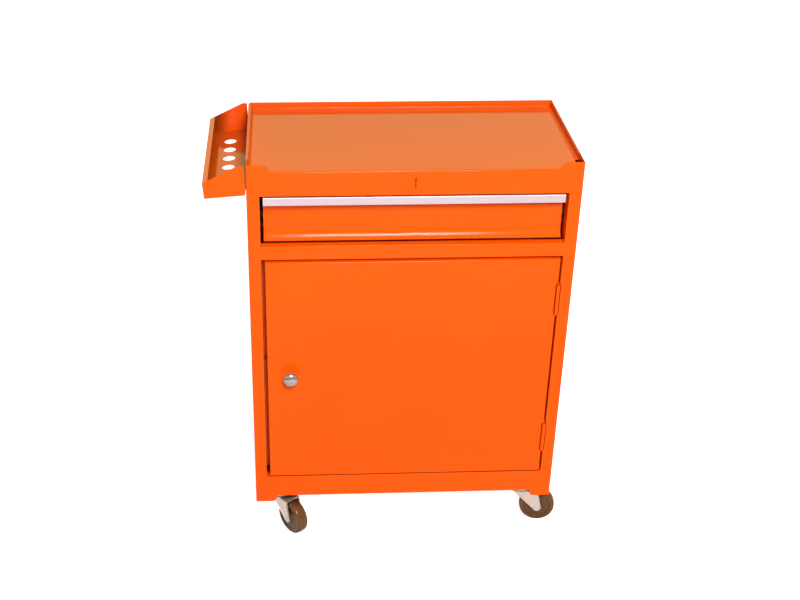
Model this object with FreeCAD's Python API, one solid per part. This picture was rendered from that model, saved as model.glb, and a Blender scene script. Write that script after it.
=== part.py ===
import FreeCAD, Part
import math
import os

# A rolling tool cabinet of folded steel sheet: one drawer above one door, a tray that hooks over
# the left rim, and four swivel casters. Sizes are in millimetres. X points to the right and Y to
# the back as seen from the front, Z points up, and the origin is on the floor under the body.

# Body
body_width = 520.0
body_depth = 270.0
body_height = 640.0
sheet = 1.0

# Front frame
stile_width = 20.0
top_rail_height = 52.0
drawer_opening_height = 86.0
mid_rail_height = 23.5
bottom_rail_height = 41.5
frame_bend = 2.5
frame_flange = 22.0
frame_flange_drop = 10.0
stile_return = 30.0
rail_return = 14.0
stile_angle_lip = 10.0
stile_angle_flange = 12.0
stile_angle_end_gap = 3.0
opening_round = 1.0
ear_width = 33.5
ear_slope = 2.5
leg_drop = 12.0
leg_width = 35.5
leg_slope = 1.5
outer_round = 8.5
keyhole_drop = 23.0
keyhole_height = 17.5
keyhole_head = 5.0
keyhole_slot = 3.0
keyhole_depth = 0.6

# Top pan, back panel, bottom panel
rim_height = 11.0
pan_bend = 2.0
pan_notch_width = 7.0
pan_notch_length = 36.0
panel_fold = 12.0
fold_relief = 14.0
side_leg_length = 32.0

# Drawer
drawer_gap = 5.0
drawer_gap_below = 6.0
drawer_recess = 18.0
flare_height = 16.0
flare_reach = 9.0
pull_gap_above = 3.0
pull_height = 13.3
pull_wall = 1.6
pull_recess = 1.0
box_side_gap = 12.0
box_floor_gap = 2.0
box_top_gap = 5.0
box_back_gap = 15.0
rail_height = 22.0
rail_sheet = 1.2
rail_clear = 0.3
rail_lip_gap = 2.3
rail_edge_gap = 1.5

# Door and its knob and catch
door_gap_hinge = 3.0
door_gap_latch = 5.7
door_gap_above = 5.5
door_gap_below = 1.5
door_depth = 16.0
door_lip = 20.0
door_round = 1.5
knob_inset = 38.1
knob_above_door = 208.0
knob_radius = 12.5
knob_length = 22.0
knob_neck_radius = 4.2
knob_neck_length = 9.0
knob_dome = 5.0
knob_rim = 1.5
knob_base_radius = 6.0
knob_base_thickness = 2.0
knob_screw_radius = 2.0
knob_screw_depth = 9.0
knob_screw_head_radius = 4.0
knob_screw_head_height = 2.4
thread_clear = 0.05
catch_width = 16.0
catch_depth = 10.0
catch_height = 40.0
catch_clear = 0.3
striker_width = 14.0
striker_height = 34.0

# Hinges
hinge_height = 54.0
hinge_from_top = 47.5
hinge_from_bottom = 45.0
barrel_radius = 3.0
barrel_proud = 1.0
barrel_inset = 0.5
barrel_clear = 1.3
leaf_sheet = 1.2
leaf_depth = 14.0
knuckle_gap = 0.3
pin_radius = 1.5
pin_fit = 0.05
pin_head_radius = 2.4
pin_head_height = 1.0

# Side tray
tray_sheet = 1.0
tray_drop = 49.2
tray_gap = 2.2
tray_floor_reach = 63.2
tray_droop = 5.0
tray_wall_height = 25.4
tray_wall_lean = 2.1
tray_lip_width = 8.3
tray_lip_rise = 4.0
tray_end_drop = 1.0
tray_end_gap = 4.0
tray_end_flat = 7.5
tray_hook_front = 22.0
tray_hook_back = 8.0
hook_clear = 0.2
hook_leg = 8.0
tray_hole_radius = 10.0
tray_hole_pitch = 36.0
tray_hole_count = 6
tray_hole_reach = 29.8
tray_hole_shift = 3.5

# Casters
caster_height = 80.0
caster_inset_x = 46.0
caster_inset_y = 29.0
caster_trail = 31.0
plate_size = 50.0
plate_thickness = 2.5
plate_corner = 5.0
bolt_spacing = 38.0
bolt_radius = 3.0
bolt_head_radius = 4.8
bolt_head_height = 3.2
bolt_fit = 0.1
nut_across = 10.0
nut_height = 5.0
cup_radius = 17.5
cup_wall = 1.5
cup_roof = 5.5
cup_gap = 0.6
ball_radius = 2.25
ball_count = 10
ball_ring_radius = 12.5
ball_clear = 0.1
kingpin_radius = 5.0
kingpin_fit = 0.05
kingpin_head_radius = 8.0
kingpin_head_height = 3.0
kingpin_head_gap = 0.3
fork_sheet = 2.5
fork_crown_radius = 18.5
fork_wheel_gap = 2.0
fork_crown_gap = 1.3
fork_tip_radius = 7.5
fork_bend = 2.2
fork_back_reach = 15.0
fork_front_reach = 30.0
wheel_width = 21.0
wheel_shoulder = 5.0
wheel_dish_inner = 11.0
wheel_tread = 8.75
wheel_dish_depth = 1.5
bush_radius = 6.0
bush_fit = 0.02
bush_end_gap = 0.3
axle_radius = 4.0
axle_fit = 0.05
axle_head_radius = 6.5
axle_head_height = 2.5
swivel_rest_degrees = {"front_left": -53.0, "front_right": -8.0, "rear_left": 24.0, "rear_right": -38.0}

# Places worked out from the sizes above
half_width = body_width / 2
front = -body_depth / 2
back = body_depth / 2
leg_bottom = caster_height - leg_drop
rim_top = leg_bottom + body_height
pan_floor = rim_top - rim_height
drawer_top = rim_top - top_rail_height
drawer_bottom = drawer_top - drawer_opening_height
door_top = drawer_bottom - mid_rail_height
door_bottom = caster_height + bottom_rail_height
opening_half = half_width - stile_width
side_outer = half_width - sheet
side_inner = side_outer - sheet

# How far cuts run past a face, how near two places count as one, and the largest outside radius, in
# sheet thicknesses, over an inside corner that stays sharp
past = 1.0
near = 1e-6
corner_limit = 1.6


def save(name, shape):
    shape.exportStep("parts/" + name + ".step")


def box(x0, x1, y0, y1, z0, z1):
    return Part.makeBox(x1 - x0, y1 - y0, z1 - z0, FreeCAD.Vector(x0, y0, z0))


def rod(radius, start, direction, length):
    return Part.makeCylinder(radius, length, FreeCAD.Vector(*start), FreeCAD.Vector(*direction))


def joined(shapes):
    return shapes[0].multiFuse(shapes[1:]).removeSplitter()


def mirrored(shape):
    return shape.mirror(FreeCAD.Vector(0, 0, 0), FreeCAD.Vector(1, 0, 0))


def prism_xz(points, y0, y1):
    corners = [FreeCAD.Vector(x, y0, z) for x, z in points]
    face = Part.Face(Part.makePolygon(corners + corners[:1]))
    return face.extrude(FreeCAD.Vector(0, y1 - y0, 0))


def prism_of_edges(edges, along):
    return Part.Face(Part.Wire(edges)).extrude(FreeCAD.Vector(*along))


def folded(points, thickness):
    """Closed outline of a folded sheet whose one surface runs through the points."""
    offset = []
    for index, (x, z) in enumerate(points):
        before = points[max(index - 1, 0)]
        after = points[min(index + 1, len(points) - 1)]
        normals = []
        for start, end in ((before, (x, z)), ((x, z), after)):
            run = math.hypot(end[0] - start[0], end[1] - start[1])
            if run > 0:
                normals.append(((start[1] - end[1]) / run, (end[0] - start[0]) / run))
        first, last = normals[0], normals[-1]
        mitre = 1 + first[0] * last[0] + first[1] * last[1]
        offset.append((x + thickness * (first[0] + last[0]) / mitre,
                       z + thickness * (first[1] + last[1]) / mitre))
    return points + offset[::-1]


# Front frame: one punched sheet folded round the body's front corners
def front_frame():
    bend_inner = frame_bend - sheet
    half_turn = math.sqrt(0.5)

    def corner(sign, radius):
        centre = (sign * (half_width - frame_bend), front + frame_bend)
        side = FreeCAD.Vector(centre[0] + sign * radius, centre[1], leg_bottom)
        reach = radius * half_turn
        middle = FreeCAD.Vector(centre[0] + sign * reach, centre[1] - reach, leg_bottom)
        face = FreeCAD.Vector(centre[0], centre[1] - radius, leg_bottom)
        return side, middle, face

    flange_end = front + frame_flange
    outer_left = corner(-1, frame_bend)
    outer_right = corner(1, frame_bend)
    inner_left = corner(-1, bend_inner)
    inner_right = corner(1, bend_inner)
    ends = [FreeCAD.Vector(x, flange_end, leg_bottom)
            for x in (-half_width, half_width, side_outer, -side_outer)]
    edges = [
        Part.makeLine(ends[0], outer_left[0]),
        Part.Arc(*outer_left).toShape(),
        Part.makeLine(outer_left[2], outer_right[2]),
        Part.Arc(*outer_right[::-1]).toShape(),
        Part.makeLine(outer_right[0], ends[1]),
        Part.makeLine(ends[1], ends[2]),
        Part.makeLine(ends[2], inner_right[0]),
        Part.Arc(*inner_right).toShape(),
        Part.makeLine(inner_right[2], inner_left[2]),
        Part.Arc(*inner_left[::-1]).toShape(),
        Part.makeLine(inner_left[0], ends[3]),
        Part.makeLine(ends[3], ends[0]),
    ]
    shell = prism_of_edges(edges, (0, 0, body_height))

    lip_half = half_width - ear_width - ear_slope
    leg_inner = half_width - leg_width
    right_half = [
        (leg_inner - leg_slope, caster_height), (leg_inner, leg_bottom), (half_width, leg_bottom),
        (half_width, rim_top), (half_width - ear_width, rim_top), (lip_half, pan_floor),
        (lip_half, pan_floor - frame_bend),
    ]
    outline = right_half + [(-x, z) for x, z in right_half[::-1]]
    blank = prism_xz(outline, front, flange_end)
    turns = []
    for x, z in ((leg_inner, leg_bottom), (half_width - ear_width, rim_top)):
        turns += [edge for edge in blank.Edges
                  if all(abs(abs(vertex.Point.x) - x) < near for vertex in edge.Vertexes)
                  and all(abs(vertex.Point.z - z) < near for vertex in edge.Vertexes)]
    frame = shell.common(blank.makeFillet(outer_round, turns))
    flange_top = pan_floor - frame_flange_drop
    for side in (-half_width, side_outer):
        frame = frame.cut(box(side, side + sheet, front + frame_bend, flange_end, flange_top, rim_top))
    for low, high in ((drawer_bottom, drawer_top), (door_bottom, door_top)):
        frame = frame.cut(box(-opening_half, opening_half, front, flange_end, low, high))
    head_radius = keyhole_head / 2
    keyhole_top = rim_top - keyhole_drop
    keyhole = rod(head_radius, (0, front - past, keyhole_top - head_radius), (0, 1, 0), past + keyhole_depth)
    frame = frame.cut(keyhole)
    frame = frame.cut(box(-keyhole_slot / 2, keyhole_slot / 2, front - past, front + keyhole_depth,
                          keyhole_top - keyhole_height, keyhole_top - head_radius))

    bend_low = pan_floor - frame_bend
    bend_back = front + frame_bend
    lip_edges = []
    for radius in (frame_bend, bend_inner):
        lip_edges.append([FreeCAD.Vector(-lip_half, bend_back - radius * math.cos(turn),
                                         bend_low + radius * math.sin(turn))
                          for turn in (0, math.pi / 4, math.pi / 2)])
    outer_lip, inner_lip = lip_edges
    lip = prism_of_edges([
        Part.Arc(*outer_lip).toShape(),
        Part.makeLine(outer_lip[2], inner_lip[2]),
        Part.Arc(*inner_lip[::-1]).toShape(),
        Part.makeLine(inner_lip[0], outer_lip[0]),
    ], (2 * lip_half, 0, 0))

    pieces = [frame, lip]
    for low, high in ((drawer_bottom, drawer_top), (door_bottom, door_top)):
        for side in (-opening_half - sheet, opening_half):
            pieces.append(box(side, side + sheet, front, front + stile_return, low, high))
        for level in (low - sheet, high):
            pieces.append(box(-opening_half - sheet, opening_half + sheet, front, front + rail_return,
                              level, level + sheet))
    frame = joined(pieces)
    rounded = []
    for edge in frame.Edges:
        ends = [vertex.Point for vertex in edge.Vertexes]
        on_front = all(abs(end.y - front) < near for end in ends)
        between_stiles = all(abs(end.x) < opening_half + near for end in ends)
        between_rails = all(door_bottom - near < end.z < drawer_top + near for end in ends)
        if on_front and between_stiles and between_rails:
            rounded.append(edge)
    frame = frame.makeFillet(min(opening_round, corner_limit * sheet), rounded)
    for low in hinge_lows:
        frame = frame.cut(box(opening_half - past, barrel_x + barrel_radius + barrel_clear, front - past,
                              barrel_y + barrel_radius + barrel_clear, low - barrel_clear,
                              low + hinge_height + pin_head_height + barrel_clear))
    return frame


# Stile angle: a folded strip welded round the end of the latch stile's return, behind the door's gap
def stile_angle():
    low = door_bottom + stile_angle_end_gap
    high = door_top - stile_angle_end_gap
    left = -opening_half - 2 * sheet
    rear = front + stile_return + sheet
    return joined([
        box(left, left + sheet, rear - stile_angle_flange, rear, low, high),
        box(left, -opening_half + stile_angle_lip, rear - sheet, rear, low, high),
    ])


# Side panel: a flat sheet lapped inside the front frame, cut away between its two feet
def side_panel(sign):
    y0 = front + frame_bend
    outline = [
        (y0, leg_bottom), (y0 + side_leg_length, leg_bottom),
        (y0 + side_leg_length + leg_slope, caster_height),
        (back - side_leg_length - leg_slope, caster_height),
        (back - side_leg_length, leg_bottom), (back, leg_bottom), (back, rim_top), (y0, rim_top),
    ]
    corners = [FreeCAD.Vector(side_inner, y, z) for y, z in outline]
    panel = Part.Face(Part.makePolygon(corners + corners[:1])).extrude(FreeCAD.Vector(sheet, 0, 0))
    return panel if sign > 0 else mirrored(panel)


# Back panel: a sheet between the side panels with a fold down each edge
def back_panel():
    pieces = [box(-side_inner, side_inner, back - sheet, back, caster_height, rim_top)]
    fold_low = caster_height + sheet + fold_relief
    for side in (-side_inner, side_inner - sheet):
        pieces.append(box(side, side + sheet, back - panel_fold, back, fold_low, pan_floor - sheet))
    return joined(pieces)


def corner_reliefs(low, high):
    """Cuts that keep a flat panel clear of the bends inside the front corners."""
    relief = box(half_width - frame_bend, half_width, front, front + frame_bend, low, high)
    return Part.makeCompound([relief, mirrored(relief)])


# Top pan: the shelf that closes the body, folded up into a rim on three sides
def top_pan():
    rear = back - sheet
    lip_half = half_width - ear_width - ear_slope
    pan = box(-side_inner, side_inner, front + sheet, rear, pan_floor - sheet, rim_top)
    hollow = box(-side_inner + sheet, side_inner - sheet, front - body_depth, rear - sheet,
                 pan_floor, rim_top + body_depth)
    low_edges = [edge for edge in hollow.Edges
                 if all(abs(vertex.Point.z - pan_floor) < near for vertex in edge.Vertexes)]
    pan = pan.cut(hollow.makeFillet(pan_bend, low_edges))
    pan = pan.cut(box(-lip_half, lip_half, front, front + frame_bend, pan_floor - 2 * sheet, rim_top))
    pan = pan.cut(corner_reliefs(pan_floor - 2 * sheet, rim_top + past))
    notch_left = side_inner - pan_notch_width
    return pan.cut(box(notch_left, half_width, front, front + sheet + pan_notch_length,
                       pan_floor - 2 * sheet, rim_top + past))


def caster_centres():
    x = half_width - caster_inset_x
    y = body_depth / 2 - caster_inset_y
    return {"front_left": (-x, -y), "front_right": (x, -y), "rear_left": (-x, y), "rear_right": (x, y)}


def bolt_places():
    reach = bolt_spacing / 2
    corners = [(dx, dy) for dx in (-reach, reach) for dy in (-reach, reach)]
    return [(x + dx, y + dy) for x, y in caster_centres().values() for dx, dy in corners]


# Bottom panel: a shallow tray between the panels, drilled for the caster bolts
def bottom_panel():
    low = caster_height
    high = low + sheet
    fold_top = high + panel_fold
    y_front = front + sheet
    y_back = back - sheet
    pieces = [box(-side_inner, side_inner, y_front, y_back, low, high)]
    for side in (-side_inner, side_inner - sheet):
        pieces.append(box(side, side + sheet, y_front + fold_relief, y_back - fold_relief, low, fold_top))
    fold_half = side_inner - fold_relief
    for y in (y_front, y_back - sheet):
        pieces.append(box(-fold_half, fold_half, y, y + sheet, low, fold_top))
    panel = joined(pieces).cut(corner_reliefs(low - past, high + past))
    holes = [rod(bolt_radius + bolt_fit, (x, y, low - past), (0, 0, 1), sheet + 2 * past)
             for x, y in bolt_places()]
    return panel.cut(Part.makeCompound(holes))


# Drawer: a folded front with a flared lower edge, an open box behind it and an aluminium pull
face_y = front + drawer_recess
drawer_half = opening_half - drawer_gap
drawer_low = drawer_bottom + drawer_gap_below
pull_top = drawer_top - pull_gap_above
pull_low = pull_top - pull_height
box_half = opening_half - box_side_gap
box_low = drawer_low + box_floor_gap
box_top = pull_low - box_top_gap
box_front = face_y + sheet
box_back = back - box_back_gap
rail_middle = (box_low + box_top) / 2


def drawer_front():
    flare_radius = (flare_height ** 2 + flare_reach ** 2) / (2 * flare_reach)
    flare_turn = math.asin(flare_height / flare_radius)
    centre_y = face_y - flare_radius
    flare_top = drawer_low + flare_height
    arcs = []
    for radius in (flare_radius, flare_radius + sheet):
        arcs.append([FreeCAD.Vector(-drawer_half, centre_y + radius * math.cos(turn),
                                    flare_top - radius * math.sin(turn))
                     for turn in (0, flare_turn / 2, flare_turn)])
    outer, inner = arcs
    top_outer = FreeCAD.Vector(-drawer_half, face_y, pull_top - pull_wall)
    top_inner = FreeCAD.Vector(-drawer_half, face_y + sheet, pull_top - pull_wall)
    return prism_of_edges([
        Part.makeLine(top_outer, outer[0]),
        Part.Arc(*outer).toShape(),
        Part.makeLine(outer[2], inner[2]),
        Part.Arc(*inner[::-1]).toShape(),
        Part.makeLine(inner[0], top_inner),
        Part.makeLine(top_inner, top_outer),
    ], (2 * drawer_half, 0, 0))


def drawer_pull():
    lip_y = front + pull_recess
    clamp_y = face_y + sheet
    return joined([
        box(-drawer_half, drawer_half, lip_y, lip_y + pull_wall, pull_low, pull_top),
        box(-drawer_half, drawer_half, lip_y, clamp_y + pull_wall, pull_top - pull_wall, pull_top),
        box(-drawer_half, drawer_half, clamp_y, clamp_y + pull_wall, pull_low, pull_top),
    ])


def drawer_box():
    outer = box(-box_half, box_half, box_front, box_back, box_low, box_top)
    return outer.cut(box(-box_half + sheet, box_half - sheet, box_front + sheet, box_back - sheet,
                         box_low + sheet, box_top + past))


# Drawer runners: a channel on each side of the body and a smaller one on the box inside it
def channel(x_web, x_lip, height, y0, y1):
    low = rail_middle - height / 2
    x0, x1 = sorted((x_web, x_lip))
    web = sorted((x_web, x_web + math.copysign(rail_sheet, x_lip - x_web)))
    return joined([
        box(x0, x1, y0, y1, low, low + rail_sheet),
        box(x0, x1, y0, y1, low + height - rail_sheet, low + height),
        box(web[0], web[1], y0, y1, low, low + height),
    ])


def cabinet_rail():
    lip = box_half + rail_sheet + rail_lip_gap
    return channel(side_inner, lip, rail_height, front + stile_return + rail_clear, back - sheet - panel_fold)


def drawer_rail():
    height = rail_height - 2 * rail_sheet - 2 * rail_clear
    return channel(box_half, opening_half - rail_edge_gap, height, box_front + rail_lip_gap, box_back)


# Door: a pan with its folds turned in at both sides, hung on two hinges at the right
door_left = -opening_half + door_gap_latch
door_right = opening_half - door_gap_hinge
door_low = door_bottom + door_gap_below
door_high = door_top - door_gap_above
door_rear = front + door_depth
barrel_x = door_right + barrel_inset
barrel_y = front - barrel_proud
hinge_lows = (door_low + hinge_from_bottom, door_high - hinge_from_top - hinge_height)
knob_x = door_left + knob_inset
knob_z = door_low + knob_above_door


def door_panel():
    panel = box(door_left, door_right, front, door_rear, door_low, door_high)
    outer_edges = [edge for edge in panel.Edges
                   if all(abs(vertex.Point.y - front) < near for vertex in edge.Vertexes)]
    panel = panel.makeFillet(min(door_round, corner_limit * sheet), outer_edges)
    panel = panel.cut(box(door_left + sheet, door_right - sheet, front + sheet, door_rear - sheet,
                          door_low + sheet, door_high - sheet))
    panel = panel.cut(box(door_left + door_lip, door_right - door_lip, front + sheet, door_rear + past,
                          door_low + sheet, door_high - sheet))
    panel = panel.cut(rod(knob_screw_radius + thread_clear, (knob_x, front - past, knob_z), (0, 1, 0),
                          sheet + 2 * past))
    clear = barrel_radius + barrel_clear
    for low in hinge_lows:
        panel = panel.cut(box(barrel_x - clear, door_right + past, front - past, barrel_y + clear,
                              low - barrel_clear, low + hinge_height + pin_head_height + barrel_clear))
    return panel


def knob():
    neck_end = front - knob_neck_length
    tip = front - knob_length
    rim_low = tip + knob_dome
    rim_high = rim_low + knob_rim
    dome_radius = (knob_radius ** 2 + knob_dome ** 2) / (2 * knob_dome)
    half_turn = math.asin(knob_radius / dome_radius) / 2
    spin = [
        FreeCAD.Vector(0, front, 0),
        FreeCAD.Vector(knob_base_radius, front, 0),
        FreeCAD.Vector(knob_base_radius, front - knob_base_thickness, 0),
        FreeCAD.Vector(knob_neck_radius, front - knob_base_thickness, 0),
        FreeCAD.Vector(knob_neck_radius, neck_end, 0),
        FreeCAD.Vector(knob_radius, rim_high, 0),
        FreeCAD.Vector(knob_radius, rim_low, 0),
    ]
    on_dome = FreeCAD.Vector(dome_radius * math.sin(half_turn),
                             tip + dome_radius * (1 - math.cos(half_turn)), 0)
    top = FreeCAD.Vector(0, tip, 0)
    edges = [Part.makeLine(a, b) for a, b in zip(spin[:-1], spin[1:])]
    edges.append(Part.Arc(spin[-1], on_dome, top).toShape())
    edges.append(Part.makeLine(top, spin[0]))
    shape = Part.Face(Part.Wire(edges)).revolve(FreeCAD.Vector(0, 0, 0), FreeCAD.Vector(0, 1, 0), 360)
    shape.translate(FreeCAD.Vector(knob_x, 0, knob_z))
    return shape.cut(rod(knob_screw_radius + thread_clear, (knob_x, front, knob_z), (0, -1, 0),
                         knob_screw_depth + thread_clear))


def knob_screw():
    seat = front + sheet
    return joined([
        rod(knob_screw_radius, (knob_x, seat, knob_z), (0, -1, 0), knob_screw_depth + sheet),
        rod(knob_screw_head_radius, (knob_x, seat, knob_z), (0, 1, 0), knob_screw_head_height),
    ])


def catch_striker():
    x0 = door_left + (door_lip - striker_width) / 2
    return box(x0, x0 + striker_width, door_rear, door_rear + sheet,
               knob_z - striker_height / 2, knob_z + striker_height / 2)


def catch_magnet():
    y0 = door_rear + sheet + catch_clear
    return box(-opening_half, -opening_half + catch_width, y0, y0 + catch_depth,
               knob_z - catch_height / 2, knob_z + catch_height / 2)


# Hinge: two leaves in the gap at the door's edge, with three knuckles on one pin
def hinge_leaves(low):
    knuckle = hinge_height / 3
    bands = [(low + index * knuckle + knuckle_gap / 2, knuckle - knuckle_gap) for index in range(3)]
    bore = rod(pin_radius + pin_fit, (barrel_x, barrel_y, low - past), (0, 0, 1), hinge_height + 2 * past)
    leaf_end = barrel_y + leaf_depth
    clear = barrel_radius + barrel_clear
    leaves = []
    for x0, own in ((opening_half - leaf_sheet, (0, 2)), (door_right, (1,))):
        leaf = box(x0, x0 + leaf_sheet, barrel_y, leaf_end, low, low + hinge_height)
        for index, (start, length) in enumerate(bands):
            if index not in own:
                leaf = leaf.cut(box(x0, x0 + leaf_sheet, barrel_y, barrel_y + clear,
                                    start - knuckle_gap, start + length + knuckle_gap))
        rings = [rod(barrel_radius, (barrel_x, barrel_y, bands[index][0]), (0, 0, 1), bands[index][1])
                 for index in own]
        leaves.append(joined([leaf] + rings).cut(bore))
    return leaves


def hinge_pin(low):
    high = low + hinge_height
    return joined([
        rod(pin_radius, (barrel_x, barrel_y, low), (0, 0, 1), hinge_height),
        rod(pin_head_radius, (barrel_x, barrel_y, high), (0, 0, 1), pin_head_height),
    ])


# Side tray: a folded trough whose back wall hooks over the left rim, with two end plates
tray_x = -side_outer - tray_gap
tray_low = rim_top - tray_drop
tray_outer = tray_x - tray_floor_reach
tray_front = front
tray_back = back


def tray_shell():
    wall_top = tray_low - tray_droop + tray_wall_height
    wall_x = tray_outer - tray_wall_lean
    hook_x = -side_outer - hook_clear - tray_sheet
    floor_fall = tray_droop / tray_floor_reach
    root_x = hook_x + tray_sheet / 2
    trough = folded([
        (root_x, tray_low + (root_x - tray_x) * floor_fall), (tray_outer, tray_low - tray_droop),
        (wall_x, wall_top), (wall_x + tray_lip_width, wall_top + tray_lip_rise),
    ], -tray_sheet)
    hook_top = rim_top + tray_sheet
    rim_inner = -side_inner + sheet
    inner_leg_x = rim_inner + hook_clear + tray_sheet
    hook = folded([
        (hook_x, tray_low), (hook_x, hook_top), (inner_leg_x, hook_top), (inner_leg_x, hook_top - hook_leg),
    ], -tray_sheet)
    hook_front = tray_front + tray_hook_front
    hook_back = tray_back - tray_hook_back
    trough_solid = prism_xz(trough, tray_front + tray_sheet, tray_back - tray_sheet)
    for y0, y1 in ((tray_front, hook_front), (hook_back, tray_back)):
        trough_solid = trough_solid.cut(box(tray_x, 0, y0, y1, 0, rim_top))
    shell = joined([trough_solid, prism_xz(hook, hook_front, hook_back)])
    hole_x = tray_x - tray_hole_reach
    first = -tray_hole_pitch * (tray_hole_count - 1) / 2 - tray_hole_shift
    holes = [rod(tray_hole_radius, (hole_x, first + index * tray_hole_pitch, tray_low - 2 * tray_droop),
                 (0, 0, 1), 4 * tray_droop) for index in range(tray_hole_count)]
    return shell.cut(Part.makeCompound(holes))


def tray_end(y0):
    wall_top = tray_low - tray_droop + tray_wall_height
    wall_x = tray_outer - tray_wall_lean
    end_top = rim_top - tray_end_drop
    flat_x = -side_outer - tray_end_gap
    outline = [(tray_x, tray_low), (tray_outer, tray_low - tray_droop), (wall_x, wall_top),
               (flat_x - tray_end_flat, end_top), (flat_x, end_top)]
    return prism_xz(outline, y0, y0 + tray_sheet)


# Caster pieces, made with the kingpin on the Z axis and the wheel trailing along +X
plate_low = caster_height - plate_thickness
ball_height = plate_low - cup_roof - ball_clear - ball_radius
crown_top = ball_height - ball_radius - ball_clear
crown_low = crown_top - fork_sheet
wheel_radius = (crown_low - fork_crown_gap) / 2
fork_inner = wheel_width / 2 + fork_wheel_gap
fork_outer = fork_inner + fork_sheet


def caster_plate():
    half = plate_size / 2
    plate = box(-half, half, -half, half, plate_low, caster_height)
    corners = [edge for edge in plate.Edges
               if abs(edge.Vertexes[0].Point.z - edge.Vertexes[-1].Point.z) > plate_thickness / 2]
    plate = plate.makeFillet(plate_corner, corners)
    cup_low = crown_top + cup_gap
    cup = rod(cup_radius, (0, 0, cup_low), (0, 0, 1), plate_low - cup_low)
    roof = plate_low - cup_roof
    cup = cup.cut(rod(cup_radius - cup_wall, (0, 0, cup_low - past), (0, 0, 1), roof - cup_low + past))
    plate = joined([plate, cup])
    reach = bolt_spacing / 2
    cuts = [rod(bolt_radius + bolt_fit, (x, y, plate_low - past), (0, 0, 1), plate_thickness + 2 * past)
            for x in (-reach, reach) for y in (-reach, reach)]
    cuts.append(rod(kingpin_radius + kingpin_fit, (0, 0, cup_low), (0, 0, 1), caster_height))
    return plate.cut(Part.makeCompound(cuts))


def caster_kingpin():
    head_top = crown_low - kingpin_head_gap
    return joined([
        rod(kingpin_radius, (0, 0, head_top), (0, 0, 1), caster_height - head_top),
        rod(kingpin_head_radius, (0, 0, head_top - kingpin_head_height), (0, 0, 1), kingpin_head_height),
    ])


def caster_balls():
    balls = []
    for index in range(ball_count):
        turn = 2 * math.pi * index / ball_count
        balls.append(Part.makeSphere(ball_radius, FreeCAD.Vector(
            ball_ring_radius * math.cos(turn), ball_ring_radius * math.sin(turn), ball_height)))
    return Part.makeCompound(balls)


def caster_fork():
    tip = fork_tip_radius
    run = caster_trail + fork_back_reach
    fall = wheel_radius - crown_top
    span = math.hypot(run, fall)
    slope = math.atan2(fall, run) - math.asin(tip / span)
    edge_length = math.sqrt(span ** 2 - tip ** 2)
    heel = (-fork_back_reach + edge_length * math.cos(slope), crown_top + edge_length * math.sin(slope))
    outline = [(-fork_back_reach, crown_top), heel, (caster_trail, wheel_radius - tip),
               (caster_trail + tip, wheel_radius), (fork_front_reach, crown_top)]
    legs = []
    for y0 in (-fork_outer, fork_inner):
        heel_top, heel_low, tip_low, tip_side, toe_top = [FreeCAD.Vector(x, y0, z) for x, z in outline]
        legs.append(prism_of_edges([
            Part.makeLine(heel_top, heel_low),
            Part.Arc(heel_low, tip_low, tip_side).toShape(),
            Part.makeLine(tip_side, toe_top),
            Part.makeLine(toe_top, heel_top),
        ], (0, fork_sheet, 0)))
    crown = box(-fork_back_reach, fork_front_reach, -fork_outer, fork_outer, crown_low, crown_top)
    fork = joined(legs + [crown])
    folds = [edge for edge in fork.Edges if all(
        abs(vertex.Point.z - crown_top) < near and abs(abs(vertex.Point.y) - fork_outer) < near
        for vertex in edge.Vertexes)]
    fork = fork.makeFillet(min(fork_bend, corner_limit * fork_sheet), folds)
    disc = rod(fork_crown_radius, (0, 0, crown_low), (0, 0, 1), fork_sheet)
    return joined([fork, disc]).cut(Part.makeCompound([
        rod(kingpin_radius + kingpin_fit, (0, 0, crown_low - past), (0, 0, 1), fork_sheet + 2 * past),
        rod(axle_radius + axle_fit, (caster_trail, -2 * fork_outer, wheel_radius), (0, 1, 0), 4 * fork_outer),
    ]))


def caster_axle():
    shank = rod(axle_radius, (caster_trail, -fork_outer, wheel_radius), (0, 1, 0), 2 * fork_outer)
    heads = [rod(axle_head_radius, (caster_trail, y, wheel_radius), (0, 1, 0), axle_head_height)
             for y in (-fork_outer - axle_head_height, fork_outer)]
    return joined([shank] + heads)


def caster_bush():
    length = 2 * (fork_inner - bush_end_gap)
    start = (caster_trail, -length / 2, wheel_radius)
    bore = rod(axle_radius + axle_fit, start, (0, 1, 0), length)
    return rod(bush_radius, start, (0, 1, 0), length).cut(bore)


def caster_wheel():
    half = wheel_width / 2
    start = (caster_trail, -half, wheel_radius)
    wheel = rod(wheel_radius, start, (0, 1, 0), wheel_width)
    wheel = wheel.makeFillet(wheel_shoulder, [edge for edge in wheel.Edges if edge.Closed])
    cuts = [rod(bush_radius + bush_fit, start, (0, 1, 0), wheel_width)]
    for y0 in (-half, half - wheel_dish_depth):
        low = (caster_trail, y0, wheel_radius)
        ring = rod(wheel_radius - wheel_tread, low, (0, 1, 0), wheel_dish_depth)
        cuts.append(ring.cut(rod(wheel_dish_inner, low, (0, 1, 0), wheel_dish_depth)))
    return wheel.cut(Part.makeCompound(cuts))


def caster_bolts():
    bolts = []
    for x, y in bolt_places():
        shank = rod(bolt_radius, (x, y, plate_low), (0, 0, 1), plate_thickness + sheet + nut_height)
        head = rod(bolt_head_radius, (x, y, plate_low - bolt_head_height), (0, 0, 1), bolt_head_height)
        bolts.append(joined([shank, head]))
    return Part.makeCompound(bolts)


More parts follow.
